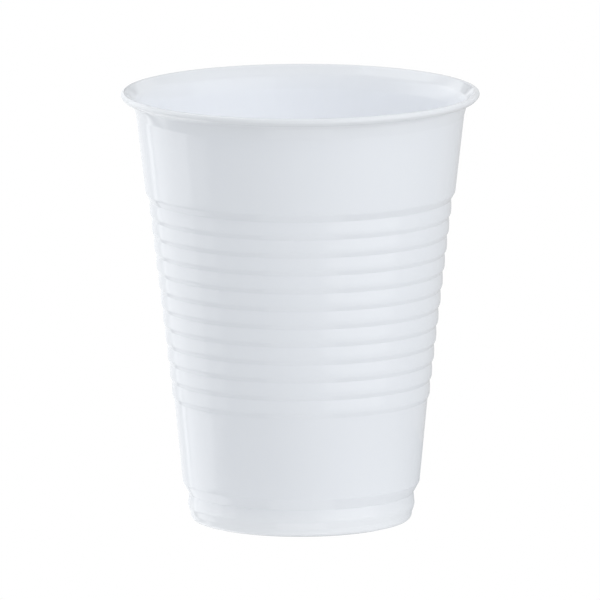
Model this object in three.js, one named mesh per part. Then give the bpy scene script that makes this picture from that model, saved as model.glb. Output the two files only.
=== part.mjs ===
// Putting cup: a thin disposable drinking cup, laid on its side on a lawn to catch a golf ball.
//
// The cup is drawn from one sheet of white plastic, so it is one solid: an even sheet that runs from
// the base panel down round the foot, up the ringed wall, and over and down in the rolled rim.
// Units are millimetres. The cup stands on z = 0 and its axis is Z.
import * as THREE from 'three';

// Overall size
const CUP_HEIGHT = 85.2;
const RIM_RADIUS = 35.15;

// How finely round stretches are divided
const SEGMENTS = 40;
const CURVE_STEPS = 4;
const CROWN_STEPS = 8;
const TIP_STEPS = 3;

// Sheet thickness: the drawn wall is thinner than the rim, where the sheet is hardly stretched
const WALL_THICKNESS = 0.28;
const RIM_THICKNESS = 0.36;

// Foot: a base panel held up off the floor by a ring, a near-upright side that swells a little
// towards its top, and a neck above it
const PANEL_HEIGHT = 2.2;
const PANEL_RADIUS = 16.4;
const RING_INNER_RADIUS = 18.2;
const RING_OUTER_RADIUS = 19.5;
const FOOT_SIDE = { bottom: 0.8, bottomRadius: 21.5, top: 1.9, topRadius: 21.78 };
const FOOT_BULGE = { bottom: 3.2, top: 3.6, radius: 22.24 };
const NECK_RADIUS = 22.05;
const NECK_HEIGHT = 5.6;

// Smooth bands below and above the rings, each a straight taper
const LOWER_BAND = { bottom: 8.2, bottomRadius: 23.27, topRadius: 24.86 };
const UPPER_BAND = { bottom: 65.4, bottomRadius: 30.38, top: 80.5, topRadius: 32.12 };
const FLARE = { top: 83.1, topRadius: 32.86 };

// Rings: each is a slightly bulged upright band with a small step in below it
const RING_COUNT = 11;
const RING_PITCH = 3.6;
const RING_BULGE = 0.08;
const RING_TAPER = 0.426;
const TOP_RING_RADIUS = 29.52;
const TOP_RING_HEIGHT = 63.95;
const STEP_HEIGHT = 0.85;

// Rolled rim: a round crown, a straight tail and a small turned-in tip
const CROWN_RADIUS = 0.6;
const CROWN_START_ANGLE = 135;
const TAIL_ANGLE = -45;
const TAIL_LENGTH = 0.62;
const TIP_RADIUS = 0.48;
const TIP_ANGLE = -145;

// A corner of the inner face moves out by at most the sheet's thickness over this
const LEAST_CORNER_COSINE = 0.5;

const point = (radius, height) => new THREE.Vector2(radius, height);

// Points of a circular arc in the section, from one angle to another, in degrees.
function arc(centre, radius, fromDegrees, toDegrees, steps) {
  const points = [];
  for (let i = 0; i <= steps; i++) {
    const angle = THREE.MathUtils.degToRad(THREE.MathUtils.lerp(fromDegrees, toDegrees, i / steps));
    points.push(point(centre.x + radius * Math.cos(angle), centre.y + radius * Math.sin(angle)));
  }
  return points;
}

// Rounded corner between the ring that the cup stands on and the side of the foot.
function footCorner() {
  const side = point(FOOT_SIDE.bottomRadius, FOOT_SIDE.bottom);
  const control = point(FOOT_SIDE.bottomRadius, 0);
  return new THREE.QuadraticBezierCurve(point(RING_OUTER_RADIUS, 0), control, side).getPoints(CURVE_STEPS);
}

// Outer face of the base: the panel's underside, the ring that the cup stands on, and the foot.
function footFace() {
  return [
    point(0, PANEL_HEIGHT),
    point(PANEL_RADIUS, PANEL_HEIGHT),
    point(RING_INNER_RADIUS, 0),
    ...footCorner(),
    point(FOOT_SIDE.topRadius, FOOT_SIDE.top),
    point(FOOT_BULGE.radius, FOOT_BULGE.bottom),
    point(FOOT_BULGE.radius, FOOT_BULGE.top),
    point(NECK_RADIUS, NECK_HEIGHT),
  ];
}

// The shoulder over the neck, as an S-curve that ends on the lower band.
function shoulderFace() {
  const middle = (NECK_HEIGHT + LOWER_BAND.bottom) / 2;
  const curve = new THREE.CubicBezierCurve(
    point(NECK_RADIUS, NECK_HEIGHT),
    point(NECK_RADIUS, middle),
    point(LOWER_BAND.bottomRadius, middle),
    point(LOWER_BAND.bottomRadius, LOWER_BAND.bottom),
  );
  return curve.getPoints(CURVE_STEPS).slice(1);
}

// Outer face of one ring, from the bottom of its band to the top.
function ringFace(index) {
  const radius = TOP_RING_RADIUS - index * RING_TAPER;
  const top = TOP_RING_HEIGHT - index * RING_PITCH;
  const bottom = top - (RING_PITCH - STEP_HEIGHT);
  return [
    point(radius, bottom),
    point(radius + RING_BULGE, (top + bottom) / 2),
    point(radius, top),
  ];
}

// Outer face of the wall, from the lower band to the top of the flare under the rim.
function wallFace() {
  const lowerTop = TOP_RING_HEIGHT - RING_COUNT * RING_PITCH;
  const points = [point(LOWER_BAND.topRadius, lowerTop)];
  for (let index = RING_COUNT - 1; index >= 0; index--) {
    points.push(...ringFace(index));
  }
  points.push(point(UPPER_BAND.bottomRadius, UPPER_BAND.bottom));
  points.push(point(UPPER_BAND.topRadius, UPPER_BAND.top));
  points.push(point(FLARE.topRadius, FLARE.top));
  return points;
}

// One face of the rolled rim, from the crown's inner side round to the tip. The visible face has an
// inset of 0, and the face inside the roll is inset by the sheet's thickness.
function rollFace(inset) {
  const centre = point(RIM_RADIUS - CROWN_RADIUS, CUP_HEIGHT - CROWN_RADIUS);
  const tailAngle = THREE.MathUtils.degToRad(TAIL_ANGLE);
  const tipOffset = CROWN_RADIUS - TIP_RADIUS;
  const tipCentre = point(
    centre.x + tipOffset * Math.cos(tailAngle) + TAIL_LENGTH * Math.sin(tailAngle),
    centre.y + tipOffset * Math.sin(tailAngle) - TAIL_LENGTH * Math.cos(tailAngle),
  );
  return [
    ...arc(centre, CROWN_RADIUS - inset, CROWN_START_ANGLE, TAIL_ANGLE, CROWN_STEPS),
    ...arc(tipCentre, TIP_RADIUS - inset, TAIL_ANGLE, TIP_ANGLE, TIP_STEPS),
  ];
}

// The face on the other side of the sheet from an outer face: each point moves square to the
// outline by the wall's thickness. The first point is on the axis, and stays there.
function innerFace(outer) {
  return outer.map((here, i) => {
    if (i === 0) {
      return point(0, here.y + WALL_THICKNESS);
    }
    const before = here.clone().sub(outer[i - 1]).normalize();
    const after = i + 1 < outer.length ? outer[i + 1].clone().sub(here).normalize() : before;
    const along = before.clone().add(after).normalize();
    const square = point(-along.y, along.x);
    const cornerCosine = square.dot(point(-before.y, before.x));
    const distance = WALL_THICKNESS / Math.max(cornerCosine, LEAST_CORNER_COSINE);
    return here.clone().addScaledVector(square, distance);
  });
}

// The whole section: up the outside, round the inside of the roll to its tip, back over the
// visible side of the roll, and down the inside of the cup.
function cupSection() {
  const outer = [...footFace(), ...shoulderFace(), ...wallFace()];
  return [
    ...outer,
    ...rollFace(RIM_THICKNESS),
    ...rollFace(0).reverse(),
    ...innerFace(outer).reverse(),
  ];
}

function makeCup() {
  const geometry = new THREE.LatheGeometry(cupSection(), SEGMENTS);
  geometry.rotateX(Math.PI / 2);
  const plastic = new THREE.MeshStandardMaterial({ color: 0xe9ebf0, roughness: 0.35, metalness: 0 });
  const mesh = new THREE.Mesh(geometry, plastic);
  mesh.name = 'cup';
  return mesh;
}

const group = new THREE.Group();
group.add(makeCup());

export default group;
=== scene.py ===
"""The putting cup: a thin white disposable cup, drawn from one sheet of plastic.

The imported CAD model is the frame. The cup's fine surface is built here as one lathed sheet with its
rings, rounded steps, rolled rim and foot, and replaces the CAD node. The cup's sizes are in
millimetres until its mesh is made. The mesh, the material and the studio are in metres.
"""
import math

import bmesh
import bpy
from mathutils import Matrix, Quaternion, Vector


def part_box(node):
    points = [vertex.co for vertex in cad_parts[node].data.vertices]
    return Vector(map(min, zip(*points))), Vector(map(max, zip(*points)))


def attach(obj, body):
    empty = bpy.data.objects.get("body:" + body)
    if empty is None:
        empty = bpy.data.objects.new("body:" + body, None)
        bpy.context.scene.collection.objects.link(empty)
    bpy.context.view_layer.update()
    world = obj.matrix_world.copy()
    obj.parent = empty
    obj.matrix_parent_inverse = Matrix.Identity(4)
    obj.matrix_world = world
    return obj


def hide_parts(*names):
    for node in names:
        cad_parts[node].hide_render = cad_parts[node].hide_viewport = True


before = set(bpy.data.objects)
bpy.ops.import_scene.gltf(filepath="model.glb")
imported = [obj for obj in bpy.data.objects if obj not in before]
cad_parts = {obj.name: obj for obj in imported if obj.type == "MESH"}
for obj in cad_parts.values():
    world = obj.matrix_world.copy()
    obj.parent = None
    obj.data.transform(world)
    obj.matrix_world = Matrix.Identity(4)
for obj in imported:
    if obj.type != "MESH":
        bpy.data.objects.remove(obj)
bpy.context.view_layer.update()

MM = 0.001

# ---------------------------------------------------------------- sizes of the cup, in millimetres

_, CAD_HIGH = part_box("cup")
CUP_HEIGHT = round(CAD_HIGH.z / MM, 3)
RIM_RADIUS = round(CAD_HIGH.x / MM, 3)

# The sheet thickens from the wall to the rim between these two heights
WALL_THICKNESS = 0.28
RIM_THICKNESS = 0.36
THICKENING = (76.0, 83.0)

# Corners of the base and foot, each a radius, a height and the fillet that rounds it
PANEL_HEIGHT = 2.2
PANEL_EDGE = (16.4, PANEL_HEIGHT, 0.6)
RING_INNER_EDGE = (18.2, 0, 0.8)
RING_OUTER_EDGE = (19.5, 0, 1.5)
FOOT_CORNER = (21.56, 0.56, 1.5)
FOOT_STEP = (21.78, 1.90, 2.0)
FOOT_BULGE = (22.28, 3.30, 2.0)
NECK = (22.05, 5.7, 0.15)
SHOULDER = (23.25, 7.9, 0.9)

# Corners of the bands above and below the rings, in the same way
LOWER_BAND_TOP_RADIUS = 24.86
LOWER_BAND_TOP_FILLET = 0.45
UPPER_BAND_BOTTOM = (30.37, 65.4, 1.3)
UPPER_BAND_TOP = (32.14, 80.65, 3.0)
FLARE = (32.86, 83.15, 2.0)

RING_COUNT = 11
RING_PITCH = 3.6
RING_TAPER = 0.426
RING_BULGE = 0.10
STEP_HEIGHT = 0.85
TOP_RING_RADIUS = 29.52
TOP_RING_HEIGHT = 63.95
RING_FILLETS = {"bottom": 1.3, "bulge": 9.0, "top": 0.25}

# The rolled rim: a round crown, a straight tail and a turned-in tip
CROWN_RADIUS = 0.6
CROWN_START_ANGLE = 136.5
TAIL_ANGLE = -45.0
TAIL_LENGTH = 0.62
TIP_RADIUS = 0.48
TIP_ANGLE = -145.0

# How finely the section and the lathe are divided
SEGMENTS = 216
CROWN_STEPS = 22
TIP_STEPS = 8
CAP_STEPS = 6
FILLET_STEP = math.radians(9)
LONGEST_STRETCH = 1.1

# A fillet takes at most this part of the shorter stretch beside its corner, and a corner that turns
# by less than this, in radians, isn't rounded
FILLET_ROOM = 0.48
LEAST_TURN = 1e-4

# A point of the section nearer the axis than this is on it
ON_AXIS = 1e-6


# ------------------------------------------------------------------------- section of the sheet

def corner(radius, height, fillet=0.0):
    """A corner of the outline, and the radius that it is rounded to."""
    return (Vector((radius, height)), fillet)


def rounded(corners):
    """The outline through these corners, with an arc at each one that has a fillet."""
    points = [corners[0][0]]
    for (before, _), (here, fillet), (after, _) in zip(corners, corners[1:], corners[2:]):
        arriving = (here - before).normalized()
        leaving = (after - here).normalized()
        turn = arriving.angle_signed(leaving)
        if fillet == 0 or abs(turn) < LEAST_TURN:
            points.append(here)
            continue
        room = FILLET_ROOM * min((here - before).length, (after - here).length)
        tangent = min(fillet * math.tan(abs(turn) / 2), room)
        radius = tangent / math.tan(abs(turn) / 2)
        side = -math.copysign(1.0, turn)
        start = here - arriving * tangent
        centre = start + Vector((-arriving.y, arriving.x)) * radius * side
        spoke = start - centre
        steps = max(2, math.ceil(abs(turn) / FILLET_STEP))
        for i in range(steps + 1):
            angle = side * abs(turn) * i / steps
            points.append(centre + Vector((
                spoke.x * math.cos(angle) - spoke.y * math.sin(angle),
                spoke.x * math.sin(angle) + spoke.y * math.cos(angle),
            )))
    points.append(corners[-1][0])
    return points


def arc(centre, radius, from_degrees, to_degrees, steps):
    """Points of an arc of the section, without its first point."""
    points = []
    for i in range(1, steps + 1):
        angle = math.radians(from_degrees + (to_degrees - from_degrees) * i / steps)
        points.append(centre + Vector((math.cos(angle), math.sin(angle))) * radius)
    return points


def foot_corners():
    """Underside of the base, the ring that the cup stands on, the foot, its neck and shoulder."""
    base = [PANEL_EDGE, RING_INNER_EDGE, RING_OUTER_EDGE]
    foot = [FOOT_CORNER, FOOT_STEP, FOOT_BULGE, NECK, SHOULDER]
    return [corner(0, PANEL_HEIGHT)] + [corner(*place) for place in base + foot]


def ring_corners(index):
    """One ring, from the bottom of its band to the top."""
    radius = TOP_RING_RADIUS - index * RING_TAPER
    top = TOP_RING_HEIGHT - index * RING_PITCH
    bottom = top - (RING_PITCH - STEP_HEIGHT)
    return [
        corner(radius, bottom, RING_FILLETS["bottom"]),
        corner(radius + RING_BULGE, (top + bottom) / 2, RING_FILLETS["bulge"]),
        corner(radius, top, RING_FILLETS["top"]),
    ]


def wall_corners():
    """The wall, from the top of the lower band to the flare under the rim."""
    lower_top = TOP_RING_HEIGHT - RING_COUNT * RING_PITCH
    corners = [corner(LOWER_BAND_TOP_RADIUS, lower_top, LOWER_BAND_TOP_FILLET)]
    for index in reversed(range(RING_COUNT)):
        corners += ring_corners(index)
    corners += [corner(*place) for place in (UPPER_BAND_BOTTOM, UPPER_BAND_TOP, FLARE)]
    return corners


def roll_points():
    """The face inside the rolled rim: its point at the top of the flare, and the points that
    follow it round to the tip."""
    hollow_radius = CROWN_RADIUS - RIM_THICKNESS
    crown = Vector((RIM_RADIUS - CROWN_RADIUS, CUP_HEIGHT - CROWN_RADIUS))
    tail = math.radians(TAIL_ANGLE)
    outwards = Vector((math.cos(tail), math.sin(tail)))
    down = Vector((math.sin(tail), -math.cos(tail)))
    tip = crown + outwards * (CROWN_RADIUS - TIP_RADIUS) + down * TAIL_LENGTH
    start_angle = math.radians(CROWN_START_ANGLE)
    start = crown + Vector((math.cos(start_angle), math.sin(start_angle))) * hollow_radius
    points = arc(crown, hollow_radius, CROWN_START_ANGLE, TAIL_ANGLE, CROWN_STEPS)
    points += arc(tip, TIP_RADIUS - RIM_THICKNESS, TAIL_ANGLE, TIP_ANGLE, TIP_STEPS)
    return start, points


def subdivided(points):
    """The same outline, with its long stretches divided."""
    fine = [points[0]]
    for a, b in zip(points, points[1:]):
        steps = max(1, math.ceil((b - a).length / LONGEST_STRETCH))
        fine += [a.lerp(b, i / steps) for i in range(1, steps + 1)]
    return fine


def smoothstep(low, high, value):
    """0 below the low value, 1 above the high one, and a smooth rise between them."""
    t = min(max((value - low) / (high - low), 0.0), 1.0)
    return t * t * (3 - 2 * t)


def thickness_at(height):
    """Thickness of the sheet where its outer face is at this height."""
    return WALL_THICKNESS + (RIM_THICKNESS - WALL_THICKNESS) * smoothstep(*THICKENING, height)


def inner_face(outer):
    """The face on the other side of the sheet. Its first point is on the axis."""
    inner = []
    for i, here in enumerate(outer):
        along = (outer[min(i + 1, len(outer) - 1)] - outer[max(i - 1, 0)]).normalized()
        inner.append(here + Vector((-along.y, along.x)) * thickness_at(here.y))
    inner[0] = Vector((0, inner[0].y))
    return inner


def tip_cap(outer, inner):
    """The half round that closes the sheet at the tip of the rim."""
    middle = (outer[-1] + inner[-1]) / 2
    radius = (outer[-1] - inner[-1]).length / 2
    heading = (outer[-1] - outer[-2]).normalized()
    towards = (outer[-1] - middle).normalized()
    return [
        middle + (towards * math.cos(a) + heading * math.sin(a)) * radius
        for a in [math.pi * k / CAP_STEPS for k in range(1, CAP_STEPS)]
    ]


def sheet_section():
    """The closed section of the sheet, from the axis under the base round the tip of the rim and
    back to the axis inside the cup."""
    start, roll = roll_points()
    corners = foot_corners() + wall_corners() + [(start, 0.0)]
    outer = subdivided(rounded(corners)) + roll
    inner = inner_face(outer)
    return outer + tip_cap(outer, inner) + list(reversed(inner))


# ------------------------------------------------------------------------------------- the mesh

def added(name, data):
    """An object with that data, put in the scene."""
    thing = bpy.data.objects.new(name, data)
    bpy.context.scene.collection.objects.link(thing)
    return thing


def lathe(name, section):
    """A closed mesh of revolution about Z. The section's two ends are on the axis."""
    mesh = bmesh.new()
    rings = []
    for p in section:
        if p.x < ON_AXIS:
            rings.append([mesh.verts.new((0, 0, p.y * MM))])
            continue
        ring = []
        radius = p.x * MM
        for k in range(SEGMENTS):
            angle = 2 * math.pi * k / SEGMENTS
            place = (radius * math.cos(angle), radius * math.sin(angle), p.y * MM)
            ring.append(mesh.verts.new(place))
        rings.append(ring)
    for a, b in zip(rings, rings[1:]):
        for k in range(SEGMENTS):
            n = (k + 1) % SEGMENTS
            if len(a) == 1:
                mesh.faces.new((a[0], b[n], b[k]))
            elif len(b) == 1:
                mesh.faces.new((a[k], a[n], b[0]))
            else:
                mesh.faces.new((a[k], a[n], b[n], b[k]))
    data = bpy.data.meshes.new(name)
    mesh.to_mesh(data)
    mesh.free()
    data.polygons.foreach_set("use_smooth", [True] * len(data.polygons))
    return added(name, data)


# --------------------------------------------------------------------------------- the material

REFRACTIVE_INDEX = 1.55
SUBSURFACE = {"Weight": 0.08, "Scale": 0.0008}

# Least and most roughness, and the values of the clouds that give them
ROUGHNESS = (0.085, 0.135)
CLOUD_SPAN = (0.2, 0.8)

# Two tints for each pattern, how much of the streaks' tint shows, and the tint of the thick sheet
CLOUD_TINTS = ((0.868, 0.885, 0.917, 1), (0.880, 0.896, 0.926, 1))
STREAK_TINTS = ((0.862, 0.880, 0.914, 1), (0.888, 0.903, 0.930, 1))
STREAK_SHARE = 0.4
THICK_TINT = (0.890, 0.903, 0.924, 1)

# Heights between which the sheet whitens up into the rim, and fades up out of the foot
RIM_WHITENING = (0.079, 0.0845)
FOOT_WHITENING = (0.001, 0.007)

# Scale and detail of each pattern. The streaks are drawn out up the wall
CLOUDS = (60.0, 2.0)
STREAKS = (420.0, 3.0)
WAVES = (260.0, 1.0)
GRAIN = (2600.0, 1.0)
STREAK_STRETCH = (1, 1, 0.06)

# Depths of the reliefs
STREAK_DEPTH = 0.000004
WAVE_DEPTH = 0.00003
GRAIN_DEPTH = 0.0000012


def noise(nodes, links, place, scale, detail, stretch=(1, 1, 1)):
    """A noise in the cup's own space. A small stretch along an axis draws it out along that axis."""
    drawn = nodes.new("ShaderNodeMapping")
    drawn.inputs["Scale"].default_value = stretch
    cloud = nodes.new("ShaderNodeTexNoise")
    cloud.inputs["Scale"].default_value = scale
    cloud.inputs["Detail"].default_value = detail
    links.new(place.outputs["Object"], drawn.inputs["Vector"])
    links.new(drawn.outputs["Vector"], cloud.inputs["Vector"])
    return cloud


def ranged(nodes, links, source, low, high, source_low, source_high):
    """A value brought smoothly from one range to another."""
    span = nodes.new("ShaderNodeMapRange")
    span.interpolation_type = "SMOOTHSTEP"
    span.inputs["From Min"].default_value = source_low
    span.inputs["From Max"].default_value = source_high
    span.inputs["To Min"].default_value = low
    span.inputs["To Max"].default_value = high
    links.new(source, span.inputs["Value"])
    return span


def mixed(nodes, links, factor, a, b):
    """A colour between two others. The factor is a number or a node's output, and each colour is
    a tuple or a node's output."""
    mix = nodes.new("ShaderNodeMix")
    mix.data_type = "RGBA"
    for name, value in (("Factor", factor), ("A", a), ("B", b)):
        if isinstance(value, (float, tuple)):
            mix.inputs[name].default_value = value
        else:
            links.new(value, mix.inputs[name])
    return mix


def bumped(nodes, links, height, depth, below=None):
    """Relief of that depth in metres, over the relief of another bump node."""
    bump = nodes.new("ShaderNodeBump")
    bump.inputs["Strength"].default_value = 1.0
    bump.inputs["Distance"].default_value = depth
    links.new(height, bump.inputs["Height"])
    if below:
        links.new(below.outputs["Normal"], bump.inputs["Normal"])
    return bump


def cup_plastic():
    """Glossy white sheet. It is whiter where it is thick at the rim and foot, and duller where it is
    drawn thin in the wall, with streaks drawn up the wall and a slight waviness in its gloss."""
    material = bpy.data.materials.new("cup_plastic")
    material.use_nodes = True
    nodes = material.node_tree.nodes
    links = material.node_tree.links
    shader = nodes["Principled BSDF"]
    shader.inputs["IOR"].default_value = REFRACTIVE_INDEX
    shader.inputs["Subsurface Weight"].default_value = SUBSURFACE["Weight"]
    shader.inputs["Subsurface Radius"].default_value = (1.0, 1.0, 1.0)
    shader.inputs["Subsurface Scale"].default_value = SUBSURFACE["Scale"]
    place = nodes.new("ShaderNodeTexCoord")
    parts = nodes.new("ShaderNodeSeparateXYZ")
    links.new(place.outputs["Object"], parts.inputs["Vector"])
    cloud = noise(nodes, links, place, *CLOUDS)
    streaks = noise(nodes, links, place, *STREAKS, STREAK_STRETCH)
    waves = noise(nodes, links, place, *WAVES)
    grain = noise(nodes, links, place, *GRAIN)

    clouded = mixed(nodes, links, cloud.outputs["Fac"], *CLOUD_TINTS)
    streaked = mixed(nodes, links, streaks.outputs["Fac"], *STREAK_TINTS)
    wall = mixed(nodes, links, STREAK_SHARE, clouded.outputs["Result"], streaked.outputs["Result"])
    rim = ranged(nodes, links, parts.outputs["Z"], 0.0, 1.0, *RIM_WHITENING)
    foot = ranged(nodes, links, parts.outputs["Z"], 1.0, 0.0, *FOOT_WHITENING)
    thick = nodes.new("ShaderNodeMath")
    thick.operation = "MAXIMUM"
    links.new(rim.outputs["Result"], thick.inputs[0])
    links.new(foot.outputs["Result"], thick.inputs[1])
    tint = mixed(nodes, links, thick.outputs[0], wall.outputs["Result"], THICK_TINT)
    links.new(tint.outputs["Result"], shader.inputs["Base Color"])

    gloss = ranged(nodes, links, cloud.outputs["Fac"], *ROUGHNESS, *CLOUD_SPAN)
    links.new(gloss.outputs["Result"], shader.inputs["Roughness"])

    streaky = bumped(nodes, links, streaks.outputs["Fac"], STREAK_DEPTH)
    wavy = bumped(nodes, links, waves.outputs["Fac"], WAVE_DEPTH, streaky)
    fine = bumped(nodes, links, grain.outputs["Fac"], GRAIN_DEPTH, wavy)
    links.new(fine.outputs["Normal"], shader.inputs["Normal"])
    return material


# --------------------------------------------------------------------------------- the studio

# The camera stands far off with a long lens. It aims at VIEW_HEIGHT up the cup's axis, and shows
# VIEW_WIDTH there. Only the sensor is in millimetres, as Blender takes it
CAMERA_DISTANCE = 4.6
CAMERA_ELEVATION = 9.49
CAMERA_ROLL = -0.15
CAMERA_SHIFT = -0.0012
CAMERA_CLIP = (0.1, 50.0)
SENSOR_WIDTH = 36.0
VIEW_HEIGHT = 0.04374
VIEW_WIDTH = 0.1177

ROOM_COLOUR = (0.935, 0.967, 1.0, 1)
ROOM_GLOW = 0.57

# Lamp powers in watts: the large boxes at the two sides are the key, and the others fill
KEY = 1.9
FILL = 1.1
LIGHT_AIM = Vector((0, 0, 0.045))

# Softboxes: name, azimuth, elevation, distance, width, height, power, and if the gloss shows it.
# The last is a small one close under the foot, for light thrown back by what the cup stands on
SOFTBOXES = [
    ("right", 50, 10, 1.0, 1.2, 0.95, KEY, True),
    ("right_fill", 50, 10, 1.1, 1.3, 1.0, KEY, False),
    ("high_right", 30, 40, 1.2, 0.7, 0.7, FILL, False),
    ("high_front", 10, 60, 1.2, 0.6, 0.6, FILL, False),
    ("left", -115, 5, 1.0, 1.0, 0.95, KEY, True),
    ("left_front", -100, 5, 1.0, 1.2, 0.95, KEY, True),
    ("left_edge", -155, 5, 1.0, 0.8, 0.95, FILL, True),
    ("low_left", -140, -40, 1.0, 0.9, 0.6, FILL, True),
    ("high_left", -115, 55, 1.2, 0.7, 0.7, FILL, True),
    ("back", 180, 50, 1.2, 0.8, 0.8, 3 * FILL, False),
    ("below", 0, -60, 1.0, 0.8, 0.8, FILL, True),
    ("table", 0, -90, 0.046, 0.06, 0.06, 0.0015, False),
]

# Grey cards: name, azimuth, distance, height of the lower edge, width, height, glow
FLAGS = [
    ("right_flag", 140, 0.085, 0, 0.11, 0.14, 0.6),
    ("back_flag", 165, 0.13, 0.105, 0.16, 0.2, 0.2),
]

INNER_LAMP = {"height": 0.042, "power": 0.008, "radius": 0.012}


def direction(azimuth, elevation):
    """From the cup towards something. Azimuth 0 is the camera's side, and 90 is to its right."""
    a, e = math.radians(azimuth), math.radians(elevation)
    return Vector((math.sin(a) * math.cos(e), -math.cos(a) * math.cos(e), math.sin(e)))


def make_camera():
    """The camera in front of the cup, a little above it."""
    data = bpy.data.cameras.new("camera")
    data.sensor_width = SENSOR_WIDTH
    data.lens = data.sensor_width * CAMERA_DISTANCE / VIEW_WIDTH
    data.shift_x = CAMERA_SHIFT
    data.clip_start, data.clip_end = CAMERA_CLIP
    camera = added("camera", data)
    back = direction(0, CAMERA_ELEVATION)
    camera.location = Vector((0, 0, VIEW_HEIGHT)) + back * CAMERA_DISTANCE
    roll = Quaternion((0, 0, 1), math.radians(CAMERA_ROLL))
    camera.rotation_euler = ((-back).to_track_quat("-Z", "Y") @ roll).to_euler()
    bpy.context.scene.camera = camera


def softbox(name, azimuth, elevation, distance, width, height, power, glossy):
    """A rectangular light that faces the cup, and that the camera doesn't see."""
    data = bpy.data.lights.new(name, "AREA")
    data.shape = "RECTANGLE"
    data.size = width
    data.size_y = height
    data.energy = power
    light = added(name, data)
    light.visible_glossy = glossy
    light.visible_camera = False
    towards = direction(azimuth, elevation)
    light.location = LIGHT_AIM + towards * distance
    light.rotation_euler = (-towards).to_track_quat("-Z", "Y").to_euler()


def inner_lamp():
    """A small lamp inside the cup, which stands for the light that comes in through the wall."""
    data = bpy.data.lights.new("inner_lamp", "POINT")
    data.energy = INNER_LAMP["power"]
    data.shadow_soft_size = INNER_LAMP["radius"]
    light = added("inner_lamp", data)
    light.visible_glossy = False
    light.location = (0, 0, INNER_LAMP["height"])


def flag(name, azimuth, distance, bottom, width, height, glow):
    """A grey card that is only seen in the cup's gloss. It darkens what an edge reflects."""
    mesh = bmesh.new()
    corners = [(-width / 2, 0), (width / 2, 0), (width / 2, height), (-width / 2, height)]
    mesh.faces.new([mesh.verts.new((x, 0, z)) for x, z in corners])
    data = bpy.data.meshes.new(name)
    mesh.to_mesh(data)
    mesh.free()
    card = added(name, data)
    card.location = direction(azimuth, 0) * distance
    card.location.z = bottom
    card.rotation_euler.z = math.radians(azimuth)
    card.visible_camera = False
    card.visible_diffuse = False
    card.visible_shadow = False
    card.visible_transmission = False
    material = bpy.data.materials.new(name)
    material.use_nodes = True
    shader = material.node_tree.nodes["Principled BSDF"]
    shader.inputs["Base Color"].default_value = (0, 0, 0, 1)
    shader.inputs["Specular IOR Level"].default_value = 0.0
    shader.inputs["Emission Color"].default_value = (1, 1, 1, 1)
    shader.inputs["Emission Strength"].default_value = glow
    data.materials.append(material)


def make_world():
    """A white background for the camera, and an even, slightly blue light for everything else."""
    world = bpy.data.worlds.new("studio")
    world.use_nodes = True
    nodes = world.node_tree.nodes
    links = world.node_tree.links
    room = nodes["Background"]
    room.inputs["Color"].default_value = ROOM_COLOUR
    room.inputs["Strength"].default_value = ROOM_GLOW
    white = nodes.new("ShaderNodeBackground")
    white.inputs["Color"].default_value = (1, 1, 1, 1)
    white.inputs["Strength"].default_value = 1.0
    path = nodes.new("ShaderNodeLightPath")
    choice = nodes.new("ShaderNodeMixShader")
    links.new(path.outputs["Is Camera Ray"], choice.inputs[0])
    links.new(room.outputs[0], choice.inputs[1])
    links.new(white.outputs[0], choice.inputs[2])
    links.new(choice.outputs[0], nodes["World Output"].inputs["Surface"])
    bpy.context.scene.world = world


def make_studio():
    """Everything round the cup: the camera, the background, the cards and the lights."""
    make_camera()
    make_world()
    for card in FLAGS:
        flag(*card)
    for box in SOFTBOXES:
        softbox(*box)
    inner_lamp()
    bpy.context.scene.view_settings.view_transform = "Standard"
    bpy.context.scene.view_settings.look = "None"


cup = lathe("cup_sheet", sheet_section())
cup.data.materials.append(cup_plastic())
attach(cup, "root")
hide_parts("cup")

make_studio()
